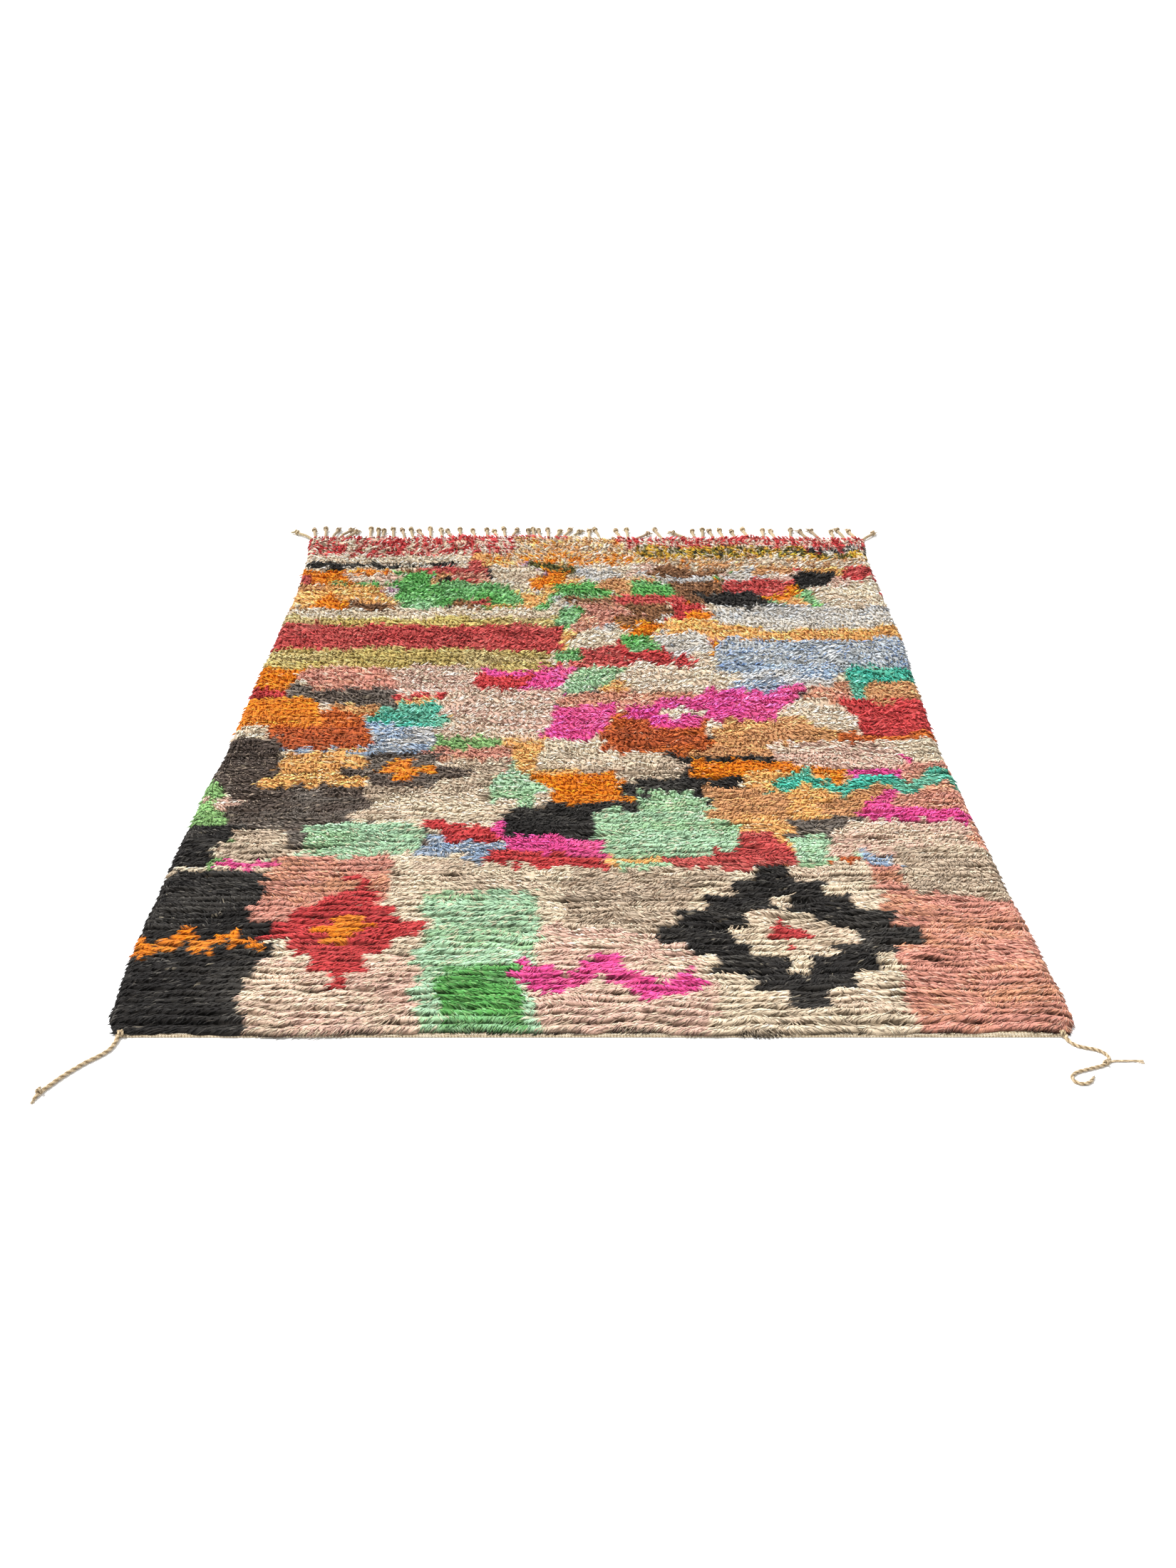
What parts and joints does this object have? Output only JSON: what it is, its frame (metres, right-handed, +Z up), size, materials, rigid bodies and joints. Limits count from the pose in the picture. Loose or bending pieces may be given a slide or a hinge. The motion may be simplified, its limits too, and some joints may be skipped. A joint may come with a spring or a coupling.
{
  "type": "azilal wool rug",
  "caption": "Hand-knotted azilal rug lying flat, with thick wool pile in rope-like rows, a knotted fringe at its far end and a twisted cord at each near corner.",
  "frame": {"origin": "middle of the flat underside, on the floor", "axes": "+Y runs along the rug from its hemmed near end to its fringed far end, +X across it to the right, +Z up out of the pile"},
  "size_m": [1.9974, 2.7825, 0.0282],
  "materials": {
    "pile_wool": "matt hand-spun wool pile in many colours",
    "warp_wool": "matt undyed twisted wool"
  },
  "bodies": {
    "root": {"rug_body": "pile_wool", "far_fringe": "warp_wool", "cord_near_left": "warp_wool", "cord_near_right": "warp_wool"}
  },
  "joints": []
}
